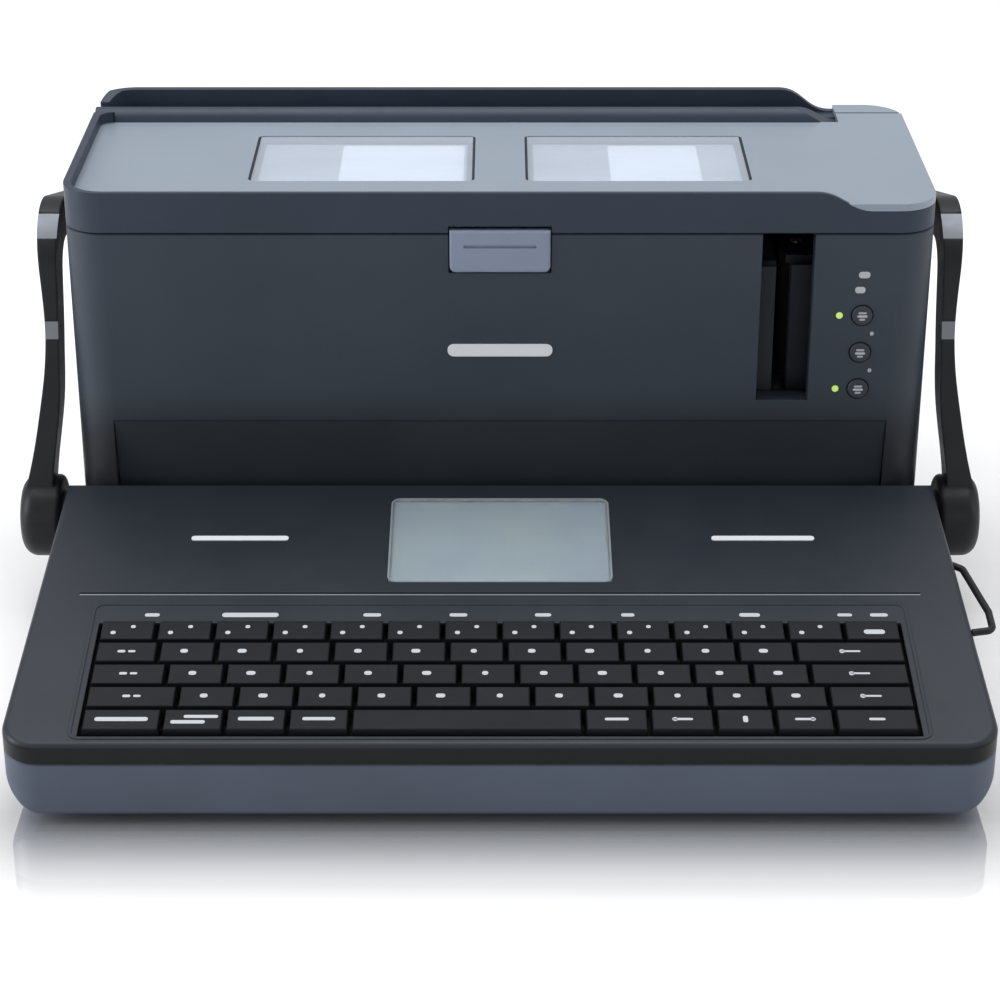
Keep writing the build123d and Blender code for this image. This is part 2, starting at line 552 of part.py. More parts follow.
# ---- mechanism inside ---------------------------------------------------------------------
def mechanism_plate():
    """Folded steel plate that carries the cassettes, the print unit and the motors."""
    plate = block(-94, 146, 160, 248, 59.0, 60.2)
    plate += block(-94, -92.8, 160, 248, 60.2, 76)
    plate -= rod_z(PLATEN_X, PLATEN_Y, 50, 70, 2.6)
    plate += rod_z(IDLER_X, IDLER_Y, 60.2, 72.5, 2.0) + rod_z(IDLER_X, IDLER_Y, 60.2, 65.5, 3.2)
    for x in (-80, 134):
        for y in (168, 240):
            plate += rod_z(x, y, FLOOR_Z, 59.0, 3.0)
    return plate


def cassette_shell(side):
    """Tape cassette: a hollow box with a rounded top face, standing on the steel plate."""
    x0, x1 = (-89.0, -9.0) if side < 0 else (7.0, 87.0)
    outer = block(x0, x1, 168, 226, 74, 142)
    outer = fillet(outer.edges().filter_by(Axis.Z), 4)
    inner = block(x0 + 1.5, x1 - 1.5, 169.5, 224.5, 75.5, 140.5)
    shell = outer - inner
    label = block(x0 + 12, x1 - 12, 178, 216, 142, 142.4)
    return shell + label


def tape_roll(side):
    """Roll of tape on its core inside a cassette."""
    x = -58.0 if side < 0 else 40.0
    return rod_z(x, 197, 84, 132, 23) - rod_z(x, 197, 80, 140, 7)


def drive_post():
    """Post that turns the working cassette's roll."""
    return rod_z(40.0, 197, 77, 138, 6.0)


def cassette_bay():
    """Moulded seats under the cassettes."""
    bay = block(-91, 89, 164, 230, 60.2, 74)
    bay -= block(-89, 87, 166, 228, 62.5, 72)
    return bay


def platen_roller():
    """Rubber roller on a steel shaft, driven from below."""
    roller = rod_z(PLATEN_X, PLATEN_Y, 80, 128, PLATEN_R)
    return roller - rod_z(PLATEN_X, PLATEN_Y, 70, 140, 2.0)


def platen_shaft():
    """Shaft of the platen roller."""
    return rod_z(PLATEN_X, PLATEN_Y, 61.5, 132, 2.0)


def print_head():
    """Thermal head block with its cooling plate, on the other side of the tape."""
    block_part = block(92.5, 98.5, 170, 192, 80, 128)
    ridge = rod_z(98.3, PLATEN_Y, 82, 126, 1.0)
    base = block(90.5, 94.8, 170, 196, 60.2, 80)
    return block_part + ridge + base


def platen_bracket():
    """Top bearing arm of the platen shaft."""
    arm = block(101.5, 114.0, 166.3, 192, 128.6, 131.6) + block(103, 112, 166.3, 168.8, 60.2, 128.6)
    arm -= rod_z(PLATEN_X, PLATEN_Y, 120, 140, 2.0 + RUN_GAP)
    return arm


def spur_gear(x, y, teeth, phase, bore):
    """Spur gear with straight-sided teeth and a generous backlash."""
    radius = GEAR_MODULE * teeth / 2
    root, tip = radius - 1.25 * GEAR_MODULE, radius + 0.85 * GEAR_MODULE
    pitch = math.pi * GEAR_MODULE
    profile = [(root - 0.6, -0.27 * pitch), (tip, -0.10 * pitch), (tip, 0.10 * pitch), (root - 0.6, 0.27 * pitch)]
    tooth = extrude(make_face(Polyline(profile, close=True)), amount=GEAR_T)
    gear = Pos(0, 0, GEAR_T / 2) * Cylinder(root, GEAR_T)
    gear += [Rot(0, 0, phase + i * 360 / teeth) * tooth for i in range(teeth)]
    if bore > 0:
        gear -= Cylinder(bore, 4 * GEAR_T)
    return Pos(x, FRONT + y, GEAR_Z) * gear


IDLER_X = PLATEN_X + 14.0
IDLER_Y = PLATEN_Y + math.sqrt((GEAR_MODULE * (PLATEN_TEETH + IDLER_TEETH) / 2) ** 2 - 14.0 ** 2)
MOTOR_X = IDLER_X
MOTOR_Y = IDLER_Y + GEAR_MODULE * (IDLER_TEETH + MOTOR_TEETH) / 2


def gear_train():
    """Platen gear, idler and motor pinion, in mesh at rest."""
    link = math.degrees(math.atan2(IDLER_Y - PLATEN_Y, IDLER_X - PLATEN_X))
    idler_phase = link + 180 + 180 / IDLER_TEETH
    to_motor = 90.0
    nearest = (to_motor - idler_phase) / (360 / IDLER_TEETH)
    idler_offset = (nearest - round(nearest)) * (360 / IDLER_TEETH)
    motor_phase = to_motor + 180 + 180 / MOTOR_TEETH + idler_offset * IDLER_TEETH / MOTOR_TEETH
    return {
        "platen_gear": spur_gear(PLATEN_X, PLATEN_Y, PLATEN_TEETH, link, 2.0),
        "idler_gear": spur_gear(IDLER_X, IDLER_Y, IDLER_TEETH, idler_phase, 2.0 + RUN_GAP),
        "motor_pinion": spur_gear(MOTOR_X, MOTOR_Y, MOTOR_TEETH, motor_phase, 0)
        + rod_z(MOTOR_X, MOTOR_Y, 62.5, 74.2, 1.0),
    }


def feed_motor():
    """Stepper motor that stands on the pinion's axis, above the gears."""
    can = rod_z(MOTOR_X, MOTOR_Y, 76, 100, 12.5)
    flange = block(MOTOR_X - 12.5, MOTOR_X + 12.5, MOTOR_Y - 12.5, MOTOR_Y + 12.5, 74.5, 76)
    legs = block(MOTOR_X + 12.5, MOTOR_X + 15, MOTOR_Y - 8, MOTOR_Y + 8, 60.2, 76)
    return can + flange + legs


def cutter_blade():
    """Guillotine blade that crosses the tape between the print unit and the slot."""
    return block(103.0, 112.0, 160.4, 161.2, 82, 130)


def cutter_frame():
    """Fixed blade and the guide of the moving blade."""
    fixed = block(91.0, 97.5, 158.6, 160.0, 80, 130)
    foot = block(91.0, 120.0, 158.0, 166.0, 60.2, 80)
    guide = block(113.5, 116.0, 157.2, 166.0, 80, 132)
    return fixed + foot + guide


def main_board():
    """Main circuit board with its larger components."""
    board = block(-88, 122, 164, 244, 12.0, 13.6)
    for x, y, w, d, h in ((-60, 190, 24, 24, 2.2), (0, 200, 18, 18, 2.0), (60, 226, 16, 10, 6.0),
                          (96, 184, 12, 12, 9.0), (-30, 232, 20, 8, 4.0)):
        board += block(x - w / 2, x + w / 2, y - d / 2, y + d / 2, 13.6, 13.6 + h)
    for x in (-70, 110):
        for y in (172, 236):
            board += rod_z(x, y, FLOOR_Z, 12.0, 2.5)
    board -= rod_z(-80, 168, 0, 58, 3.4) + rod_z(-80, 240, 0, 58, 3.4)
    return board


def battery_pack():
    """Rechargeable pack in the left rear corner."""
    x0, x1, y0, y1, z0, z1 = BATTERY
    return fillet(block(x0, x1, y0, y1, z0, z1).edges().filter_by(Axis.Y), 3)


def battery_door():
    """Door in the back wall over the battery, hinged along its lower edge."""
    x0, x1 = BATTERY[0] - 2.0, BATTERY[1] + 2.0
    door = block(x0, x1, 257.6, 259.8, 12.0, BATTERY[5] + 4)
    return door + rod_x(x0, x1, 257.8, 11.0, 2.0)


def power_socket():
    """Barrel socket in the back wall."""
    body = block(114, 126, 246, 257.4, 34, 46) + rod_y(120, 257.4, 259.6, 40, 5.2)
    return body - rod_y(120, 249, 261, 40, 2.75)


def usb_socket():
    """Square data socket in the back wall."""
    body = block(89.5, 102.5, 244, 259.6, 34, 46)
    return body - block(91.75, 100.25, 248, 261, 36.1, 43.9)


def feet():
    """Four rubber feet."""
    pads = []
    for x in (-125, 125):
        for y in (30, 236):
            pads.append(rod_z(x, y, 0, FOOT_H, 9))
    return Compound(children=pads)


def case_screws():
    """Screws that close the case from below, with their heads sunk in the floor."""
    screws = []
    for x, y in SCREWS:
        screws.append(rod_z(x, y, FOOT_H + 0.5, FLOOR_Z - 0.8, 2.4) + rod_z(x, y, FLOOR_Z - 0.8, 13, 1.2))
    return Compound(children=screws)


# ---- write every sub-part -----------------------------------------------------------------
NODES = {
    "base_tray": base_tray, "keyboard_deck": keyboard_deck, "key_membrane": key_membrane,
    "keyboard_board": keyboard_board, "display_window": display_window, "display_panel": display_panel,
    "front_cover": front_cover, "front_plinth": front_plinth, "rear_cover": rear_cover,
    "lid_frame": lid_frame, "lid_panel": lid_panel,
    "lid_windows": lid_windows, "hinge_strip": hinge_strip, "socket_panel": socket_panel, "corner_cap": corner_cap,
    "lid_hinge_pins": lid_hinge_pins, "lid_latch": lid_latch,
    "button_board": button_board, "status_lights": status_lights,
    "bail_arm_left": lambda: bail_arm(-1), "bail_arm_right": lambda: bail_arm(1),
    "bail_bar": bail_bar, "bail_grip": bail_grip, "bail_bands": bail_bands,
    "bail_pivots": bail_pivots,
    "strap_loop": strap_loop, "mechanism_plate": mechanism_plate, "cassette_bay": cassette_bay,
    "cassette_left": lambda: cassette_shell(-1), "cassette_right": lambda: cassette_shell(1),
    "tape_roll_left": lambda: tape_roll(-1), "tape_roll_right": lambda: tape_roll(1),
    "drive_post": drive_post,
    "platen_roller": platen_roller, "platen_shaft": platen_shaft, "platen_bracket": platen_bracket,
    "print_head": print_head, "feed_motor": feed_motor,
    "cutter_blade": cutter_blade, "cutter_frame": cutter_frame,
    "main_board": main_board, "battery_pack": battery_pack, "battery_door": battery_door,
    "power_socket": power_socket, "usb_socket": usb_socket, "feet": feet, "case_screws": case_screws,
}

KEY_NODES = {
    "bottom_keys_left": (0, 0, 4), "space_bar": (0, 4, 5), "bottom_keys_right": (0, 5, 10),
    "lower_letter_keys": (1, 0, 13), "middle_letter_keys": (2, 0, 13), "upper_letter_keys": (3, 0, 13),
    "number_keys": (4, 0, 14),
}

for node, make in NODES.items():
    save(node, make())
for node, (key_row, key_first, key_last) in KEY_NODES.items():
    save(node, key_group(key_row, key_first, key_last))
for node, height in BUTTON_ZS.items():
    save(node, front_button(height))
for node, gear in gear_train().items():
    save(node, gear)
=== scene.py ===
"""Looks of the desktop label maker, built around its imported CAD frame.  Blender units are metres."""

import json
import math

import bmesh
import bpy
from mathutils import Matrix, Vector


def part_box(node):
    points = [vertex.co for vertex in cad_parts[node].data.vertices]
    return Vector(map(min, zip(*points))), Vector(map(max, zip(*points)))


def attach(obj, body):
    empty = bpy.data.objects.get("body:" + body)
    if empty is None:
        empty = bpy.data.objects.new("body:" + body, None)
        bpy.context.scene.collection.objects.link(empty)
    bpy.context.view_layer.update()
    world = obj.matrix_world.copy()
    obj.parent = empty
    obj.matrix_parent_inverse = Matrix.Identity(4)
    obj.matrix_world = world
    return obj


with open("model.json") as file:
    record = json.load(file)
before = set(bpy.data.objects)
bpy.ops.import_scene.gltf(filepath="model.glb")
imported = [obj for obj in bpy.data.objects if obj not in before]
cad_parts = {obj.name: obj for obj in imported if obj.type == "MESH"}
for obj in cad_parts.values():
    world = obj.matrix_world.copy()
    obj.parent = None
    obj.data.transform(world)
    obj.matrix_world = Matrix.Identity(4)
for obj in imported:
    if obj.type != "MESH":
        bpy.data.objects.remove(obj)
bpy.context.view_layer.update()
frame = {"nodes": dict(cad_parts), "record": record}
NODES = frame["nodes"]

MM = 0.001
DECK_RISE, DECK_RUN = 22.8, 146.0                   # millimetres, over the whole deck
SLOPE = math.atan2(DECK_RISE, DECK_RUN)
NORMAL = Vector((0.0, -math.sin(SLOPE), math.cos(SLOPE)))
UPHILL = Vector((0.0, math.cos(SLOPE), math.sin(SLOPE)))
FRONT_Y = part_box("base_tray")[0].y                  # front edge of the tray
FACE_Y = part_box("front_cover")[0].y                 # front face of the housing
BACK_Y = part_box("rear_cover")[1].y                  # back of the housing
DECK_Z = 29.2 * MM                                  # top of the deck at its front edge
RIGHT = Vector((1, 0, 0))
BACKWARD = Vector((0, 1, 0))
UP = Vector((0, 0, 1))
SINK = 0.05                                         # how deep a raised piece stands in its surface, mm
INK = 0.08                                          # thickness of a printed mark, mm
INK_SINK = 0.02                                     # how deep it stands in its surface, mm
ROUND_BUTTONS = ("power_button", "feed_button", "wireless_button")


def deck_point(x, s, h=0.0):
    """A point on the slanted deck, with x, s (up the slope) and h (square to it) in millimetres."""
    origin = Vector((0.0, FRONT_Y, DECK_Z))
    return origin + RIGHT * (x * MM) + UPHILL * (s * MM) + NORMAL * (h * MM)


def middle(node):
    """Middle of a CAD node's box."""
    lo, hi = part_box(node)
    return (lo + hi) / 2


# ---- materials ----------------------------------------------------------------------------
def new_material(name):
    """An empty node material and its principled shader."""
    mat = bpy.data.materials.new(name)
    mat.use_nodes = True
    tree = mat.node_tree
    tree.nodes.clear()
    out = tree.nodes.new("ShaderNodeOutputMaterial")
    shader = tree.nodes.new("ShaderNodeBsdfPrincipled")
    tree.links.new(shader.outputs["BSDF"], out.inputs["Surface"])
    return mat, tree, shader


def noise(tree, scale, detail=3.0, rough=0.55, stretch=(1, 1, 1)):
    """Noise in the object's own space."""
    coord = tree.nodes.new("ShaderNodeTexCoord")
    mapping = tree.nodes.new("ShaderNodeMapping")
    mapping.inputs["Scale"].default_value = stretch
    node = tree.nodes.new("ShaderNodeTexNoise")
    node.inputs["Scale"].default_value = scale
    node.inputs["Detail"].default_value = detail
    node.inputs["Roughness"].default_value = rough
    tree.links.new(coord.outputs["Object"], mapping.inputs["Vector"])
    tree.links.new(mapping.outputs["Vector"], node.inputs["Vector"])
    return node


def ramp(tree, source, low, high, start=0.3, end=0.7):
    """Map a grey value to the range between two colours."""
    node = tree.nodes.new("ShaderNodeValToRGB")
    for element, position, color in zip(node.color_ramp.elements, (start, end), (low, high)):
        element.position = position
        element.color = (*color, 1)
    tree.links.new(source, node.inputs["Fac"])
    return node.outputs["Color"]


def color_of(tree, shader, source):
    """Use a colour output as the shader's base colour."""
    tree.links.new(source, shader.inputs["Base Color"])


def rough_between(tree, shader, source, low, high):
    """Let the roughness wander between two levels with a grey value."""
    level = ramp(tree, source.outputs["Fac"], (low,) * 3, (high,) * 3)
    tree.links.new(level, shader.inputs["Roughness"])


def shade(color, factor):
    """The colour made darker or lighter."""
    return tuple(min(1.0, c * factor) for c in color)


def bump(tree, shader, source, strength, distance):
    """Fine relief from a grey value."""
    node = tree.nodes.new("ShaderNodeBump")
    node.inputs["Strength"].default_value = strength
    node.inputs["Distance"].default_value = distance
    tree.links.new(source, node.inputs["Height"])
    tree.links.new(node.outputs["Normal"], shader.inputs["Normal"])
    return node


def rise(tree, source, start, end, low=0.0, high=1.0, kind="SMOOTHSTEP"):
    """Run from one level at start to another at end."""
    node = tree.nodes.new("ShaderNodeMapRange")
    node.interpolation_type = kind
    node.inputs["From Min"].default_value = start
    node.inputs["From Max"].default_value = end
    node.inputs["To Min"].default_value = low
    node.inputs["To Max"].default_value = high
    tree.links.new(source, node.inputs["Value"])
    return node.outputs["Result"]


def arithmetic(tree, operation, *sources):
    """One math node on one or two values."""
    node = tree.nodes.new("ShaderNodeMath")
    node.operation = operation
    for place, source in enumerate(sources):
        tree.links.new(source, node.inputs[place])
    return node.outputs[0]


def height_mask(tree, direction, low, high):
    """0 below one level and 1 above another, measured along a direction in the object's own space."""
    coord = tree.nodes.new("ShaderNodeTexCoord")
    dot = tree.nodes.new("ShaderNodeVectorMath")
    dot.operation = "DOT_PRODUCT"
    dot.inputs[1].default_value = direction
    tree.links.new(coord.outputs["Object"], dot.inputs[0])
    return rise(tree, dot.outputs["Value"], low, high)


def plastic(name, color, rough=0.42, grain=1400.0, depth=0.25, vary=0.10, spec=0.25, edge=0.6, painted_shade=None):
    """Moulded plastic: spark-eroded grain, faint handling marks, rounded edges and slight colour drift.

    painted_shade is (shade colour, direction, low, high): below low along the direction the shade colour
    shows, as painted shade.
    """
    mat, tree, shader = new_material(name)
    drift = noise(tree, 14.0, 4.0, 0.6)
    tint = ramp(tree, drift.outputs["Fac"], shade(color, 1 - vary), shade(color, 1 + vary))
    # painted shade: below a level along the given direction, a darker shade colour takes over
    if painted_shade:
        other, direction, low, high = painted_shade
        mix = tree.nodes.new("ShaderNodeMix")
        mix.data_type = "RGBA"
        factor, first, second = mix.inputs[0], mix.inputs[6], mix.inputs[7]
        tree.links.new(height_mask(tree, direction, low, high), factor)
        first.default_value = (*other, 1)
        tree.links.new(tint, second)
        tint = mix.outputs[2]
    color_of(tree, shader, tint)
    rough_between(tree, shader, noise(tree, 60.0, 5.0, 0.65), rough - 0.05, rough + 0.07)
    fine = noise(tree, grain, 2.0, 0.5)
    relief = bump(tree, shader, fine.outputs["Fac"], depth, 0.00006)
    if edge:
        bevel = tree.nodes.new("ShaderNodeBevel")
        bevel.samples = 4
        bevel.inputs["Radius"].default_value = edge * MM
        tree.links.new(bevel.outputs["Normal"], relief.inputs["Normal"])
    shader.inputs["Specular IOR Level"].default_value = spec
    return mat


def ink(name, color, rough):
    """Smooth print or foil with no rounded edges."""
    return plastic(name, color, rough, 900.0, 0.05, 0.03, edge=0)


def pearl(name, color):
    """Silver-grey paint with fine flake."""
    mat, tree, shader = new_material(name)
    flake = noise(tree, 3200.0, 1.0, 0.5)
    tint = ramp(tree, flake.outputs["Fac"], shade(color, 0.93), shade(color, 1.07), 0.35, 0.65)
    color_of(tree, shader, tint)
    rough_between(tree, shader, noise(tree, 25.0, 4.0, 0.6), 0.34, 0.44)
    shader.inputs["Metallic"].default_value = 0.25
    bump(tree, shader, flake.outputs["Fac"], 0.12, 0.00004)
    return mat


def metal(name, color, rough=0.3, stretch=(1, 1, 40)):
    """Brushed or turned metal."""
    mat, tree, shader = new_material(name)
    grain = noise(tree, 300.0, 3.0, 0.6, stretch)
    tint = ramp(tree, grain.outputs["Fac"], shade(color, 0.86), color)
    color_of(tree, shader, tint)
    rough_between(tree, shader, grain, rough, rough + 0.15)
    shader.inputs["Metallic"].default_value = 1.0
    bump(tree, shader, grain.outputs["Fac"], 0.15, 0.00003)
    return mat


def clear(name, color):
    """Clear window with faint wipe marks."""
    mat, tree, shader = new_material(name)
    wipe = noise(tree, 40.0, 5.0, 0.7, (1, 4, 1))
    tint = ramp(tree, wipe.outputs["Fac"], shade(color, 0.97), color)
    color_of(tree, shader, tint)
    rough_between(tree, shader, wipe, 0.05, 0.11)
    shader.inputs["Transmission Weight"].default_value = 0.9
    shader.inputs["IOR"].default_value = 1.46
    return mat


def milky(name, color, alpha):
    """Translucent pane: a faint milky haze over what lies behind it."""
    mat, tree, shader = new_material(name)
    haze = noise(tree, 30.0, 3.0, 0.6, (1, 3, 1))
    tint = ramp(tree, haze.outputs["Fac"], shade(color, 0.94), color)
    color_of(tree, shader, tint)
    rough_between(tree, shader, haze, 0.10, 0.18)
    shader.inputs["Alpha"].default_value = alpha
    return mat


def glow(name, color, strength):
    """Lit indicator lens."""
    mat, tree, shader = new_material(name)
    mottle = noise(tree, 900.0, 2.0, 0.5)
    tint = ramp(tree, mottle.outputs["Fac"], shade(color, 0.85), color)
    color_of(tree, shader, tint)
    shader.inputs["Emission Color"].default_value = (*color, 1)
    shader.inputs["Emission Strength"].default_value = strength
    shader.inputs["Roughness"].default_value = 0.3
    return mat


def crystal(name):
    """Reflective liquid crystal panel: grey-green with a soft mottle under a hard coat."""
    mat, tree, shader = new_material(name)
    cloud = noise(tree, 30.0, 2.0, 0.5)
    tint = ramp(tree, cloud.outputs["Fac"], (0.38, 0.48, 0.66), (0.45, 0.56, 0.62))
    color_of(tree, shader, tint)
    cells = tree.nodes.new("ShaderNodeTexBrick")
    coord = tree.nodes.new("ShaderNodeTexCoord")
    tree.links.new(coord.outputs["Object"], cells.inputs["Vector"])
    cells.inputs["Scale"].default_value = 900.0
    bump(tree, shader, cells.outputs["Fac"], 0.05, 0.00002)
    shader.inputs["Roughness"].default_value = 0.25
    shader.inputs["Coat Weight"].default_value = 0.6
    shader.inputs["Coat Roughness"].default_value = 0.06
    return mat


def rubber(name, color):
    """Soft matt rubber."""
    return plastic(name, color, rough=0.78, grain=900.0, depth=0.5, vary=0.15, spec=0.2, edge=0.5)


CASE = (0.029, 0.039, 0.054)
# RIM_SHADE_COLOR is painted shade: wherever the deck lies below its top face, as on its rim wall, it is
# painted near black
DECK_COLOR, RIM_SHADE_COLOR = (0.017, 0.022, 0.030), (0.0015, 0.002, 0.003)
FRONT_SHADE_COLOR, FRONT_SHADE_LOW, FRONT_SHADE_HIGH = (0.010, 0.012, 0.016), 66 * MM, 90 * MM   # painted shade: the front of the housing is painted darker towards the bottom, between these heights
DECK_LEVEL = deck_point(0, 0).dot(NORMAL)           # height of the deck along its own normal
MATERIALS = {
    "case": plastic("case_plastic", (0.064, 0.080, 0.112), 0.46),
    # the deck plastic carries painted shade below its top face
    "deck": plastic("deck_plastic", DECK_COLOR, 0.40, spec=0.22,
                    painted_shade=(RIM_SHADE_COLOR, NORMAL, DECK_LEVEL - 1.6 * MM, DECK_LEVEL - 0.5 * MM)),
    "plinth": plastic("plinth_plastic", (0.024, 0.030, 0.037), 0.42, depth=0.1, spec=0.15),
    "lid": plastic("lid_plastic", (0.024, 0.034, 0.054), 0.42),
    "silver": pearl("silver_paint", (0.225, 0.268, 0.325)),
    "window": milky("lid_window_pane", (0.66, 0.74, 0.86), 0.42),
    "clear": clear("display_cover", (0.92, 0.96, 0.95)),
    "display": crystal("liquid_crystal"),
    "latch": plastic("latch_plastic", (0.200, 0.235, 0.320), 0.38, edge=0.9),
    "key": plastic("key_plastic", (0.0055, 0.0065, 0.009), 0.5, 2200.0, 0.3, spec=0.15, edge=0.4),
    "button": plastic("button_plastic", (0.030, 0.036, 0.048), 0.40, edge=0.3),
    "light": glow("status_green", (0.42, 0.62, 0.12), 0.5),
    "bail": plastic("bail_plastic", (0.006, 0.007, 0.009), 0.42, 1100.0, 0.3, edge=1.2),
    "bar": plastic("bar_paint", (0.010, 0.011, 0.014), 0.36, 800.0, 0.4),
    "rubber": rubber("soft_rubber", (0.013, 0.013, 0.014)),
    "dark_steel": metal("blued_steel", (0.030, 0.034, 0.042), 0.5),
    "band": metal("brushed_band", (0.20, 0.215, 0.24), 0.50, (1, 1, 12)),
    "steel": metal("plated_steel", (0.62, 0.63, 0.66)),
    "brass": metal("turned_brass", (0.75, 0.58, 0.28)),
    "gear": plastic("acetal", (0.72, 0.70, 0.64), 0.35, 500.0, 0.1),
    "inner": plastic("inner_plastic", (0.036, 0.041, 0.046), 0.6, spec=0.1),
    "cassette": plastic("cassette_plastic", (0.40, 0.46, 0.53), 0.38, 900.0, 0.15),
    "tape": plastic("tape_film", (0.80, 0.80, 0.78), 0.30, 400.0, 0.1),
    "head": metal("machined_aluminium", (0.20, 0.20, 0.21), 0.45),
    "board": plastic("solder_mask", (0.015, 0.10, 0.05), 0.28, 200.0, 0.2, edge=0),
    "battery": plastic("battery_wrap", (0.035, 0.035, 0.045), 0.35),
    "print": ink("printed_grey", (0.42, 0.44, 0.47), 0.6),
    "badge": ink("badge_silver", (0.66, 0.68, 0.71), 0.35),
    "bezel": ink("display_rim", (0.20, 0.23, 0.26), 0.35),
    "paper": plastic("label_paper", (0.70, 0.73, 0.77), 0.7, 600.0, 0.2, 0.03, edge=0),
    "gasket": rubber("gasket_rubber", (0.020, 0.024, 0.032)),
}
# the front cover carries painted shade low on its face
FRONT_CASE = plastic("front_case_plastic", CASE, 0.46, painted_shade=(FRONT_SHADE_COLOR, UP, FRONT_SHADE_LOW, FRONT_SHADE_HIGH))
REAR_CASE = plastic("rear_case_plastic", CASE, 0.46)
SPECIAL = {"front_cover": FRONT_CASE, "rear_cover": REAR_CASE, "bail_bands": MATERIALS["band"],
           "cutter_blade": MATERIALS["dark_steel"], "print_head": MATERIALS["dark_steel"],
           "platen_bracket": MATERIALS["dark_steel"]}


def dress_frame():
    """Give every CAD node its slot's material, or its own where it has one."""
    for entry in frame["record"]["subparts"]:
        obj = NODES[entry["node"]]
        obj.data.materials.clear()
        obj.data.materials.append(SPECIAL.get(entry["node"], MATERIALS[entry["material_slot"]]))


# ---- mesh helpers -------------------------------------------------------------------------
def outline(width, height, radius, steps=5):
    """Corner points of a rounded rectangle, anticlockwise."""
    points = []
    for corner, (sx, sy) in enumerate(((1, 1), (-1, 1), (-1, -1), (1, -1))):
        cx, cy = sx * (width / 2 - radius), sy * (height / 2 - radius)
        for i in range(steps + 1):
            a = math.radians(90 * corner + 90 * i / steps)
            points.append((cx + radius * math.cos(a), cy + radius * math.sin(a)))
    return points


def join_rings(bm, low, high):
    """Quads between two closed rows of vertices."""
    count = len(low)
    for i in range(count):
        j = (i + 1) % count
        bm.faces.new((low[i], low[j], high[j], high[i]))


def add_slab(bm, centre, right, up, points, thickness):
    """A thin slab with the given outline (mm), standing on centre with its face along right x up."""
    normal = right.cross(up).normalized()
    low = [bm.verts.new(centre + right * (x * MM) + up * (y * MM)) for x, y in points]
    high = [bm.verts.new(v.co + normal * (thickness * MM)) for v in low]
    bm.faces.new(high)
    bm.faces.new(list(reversed(low)))
    join_rings(bm, low, high)


def add_ring(bm, centre, right, up, width, height, radius, line, thickness):
    """A thin rounded-rectangular frame, sizes in millimetres, standing on centre."""
    normal = right.cross(up).normalized()
    outer = outline(width, height, radius, 6)
    inner = outline(width - 2 * line, height - 2 * line, max(radius - line, 0.2), 6)
    rings = []
    for points, h in ((outer, 0.0), (outer, thickness), (inner, thickness), (inner, 0.0)):
        base = centre + normal * (h * MM)
        rings.append([bm.verts.new(base + right * (x * MM) + up * (y * MM)) for x, y in points])
    for low, high in zip(rings, rings[1:] + rings[:1]):
        join_rings(bm, low, high)


def finish_piece(bm, name, body, material):
    """Turn a bmesh into an object that rides on a body."""
    bmesh.ops.recalc_face_normals(bm, faces=bm.faces)
    mesh = bpy.data.meshes.new(name)
    bm.to_mesh(mesh)
    bm.free()
    obj = bpy.data.objects.new(name, mesh)
    bpy.context.scene.collection.objects.link(obj)
    obj.data.materials.append(material)
    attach(obj, body)
    return obj


# ---- key legends --------------------------------------------------------------------------
def loose_parts(node):
    """Vertex places of each separate solid in a CAD node."""
    bm = bmesh.new()
    bm.from_mesh(NODES[node].data)
    bmesh.ops.remove_doubles(bm, verts=bm.verts, dist=0.002 * MM)
    seen, parts = set(), []
    for start in bm.verts:
        if start in seen:
            continue
        seen.add(start)
        queue, part = [start], []
        while queue:
            vert = queue.pop()
            part.append(vert.co.copy())
            for edge in vert.link_edges:
                other = edge.other_vert(vert)
                if other not in seen:
                    seen.add(other)
                    queue.append(other)
        parts.append(part)
    bm.free()
    return parts


def cap_centres(node):
    """Top centres and widths (mm) of the caps in one key group, left to right."""
    caps = []
    for part in loose_parts(node):
        top = max(p.dot(NORMAL) for p in part)
        face = [p for p in part if p.dot(NORMAL) > top - 0.05 * MM]
        lo, hi = min(p.x for p in face), max(p.x for p in face)
        s_mid = (min(p.dot(UPHILL) for p in face) + max(p.dot(UPHILL) for p in face)) / 2
        centre = Vector(((lo + hi) / 2, 0, 0)) + UPHILL * s_mid + NORMAL * top
        caps.append((centre, (hi - lo) / MM))
    return sorted(caps, key=lambda cap: cap[0].x)


def legends(node, marks_for):
    """Printed marks on every cap of one group, each (x, y, width, height) in mm from the cap's centre."""
    bm = bmesh.new()
    caps = cap_centres(node)
    for index, (centre, width) in enumerate(caps):
        for x, y, w, h in marks_for(index, len(caps), width):
            place = centre + RIGHT * (x * MM) + UPHILL * (y * MM) - NORMAL * (INK_SINK * MM)
            add_slab(bm, place, RIGHT, UPHILL, outline(w, h, min(w, h) * 0.42, 3), 0.07)
    finish_piece(bm, node + "_legends", node, MATERIALS["print"])


def letter_marks(index, count, width):
    """A small round mark on letter keys, two dots on the first key and a barred dash on the last."""
    if index == 0:
        return [(-1.6, 0, 2.6, 1.3), (1.8, 0, 2.4, 1.1)]
    if index == count - 1:
        return [(0, 0, 6.5, 0.9), (-2.8, 0, 1.6, 2.0)]
    size = 2.0 + 0.5 * ((index * 7) % 3)
    return [(-1.0, 0.2, size, 2.0)]


def number_marks(index, count, width):
    """Two small marks low on the left and high on the right of each number key."""
    if index == count - 1:
        return [(0.5, -1.2, 7.0, 2.4)]
    return [(-4.6, -1.6, 1.7, 1.8), (1.8, 1.6, 1.6, 1.6)]


def word_marks(index, count, width):
    """Blank bars where function names would stand."""
    bars = {0: [(0, 0, 17.0, 2.0)], 1: [(-1.6, -1.4, 11.0, 1.7), (2.4, 1.3, 11.0, 1.5)],
            2: [(0, 0.2, 11.5, 1.8)], 3: [(0, 0.2, 10.5, 1.6)]}
    return bars[index]


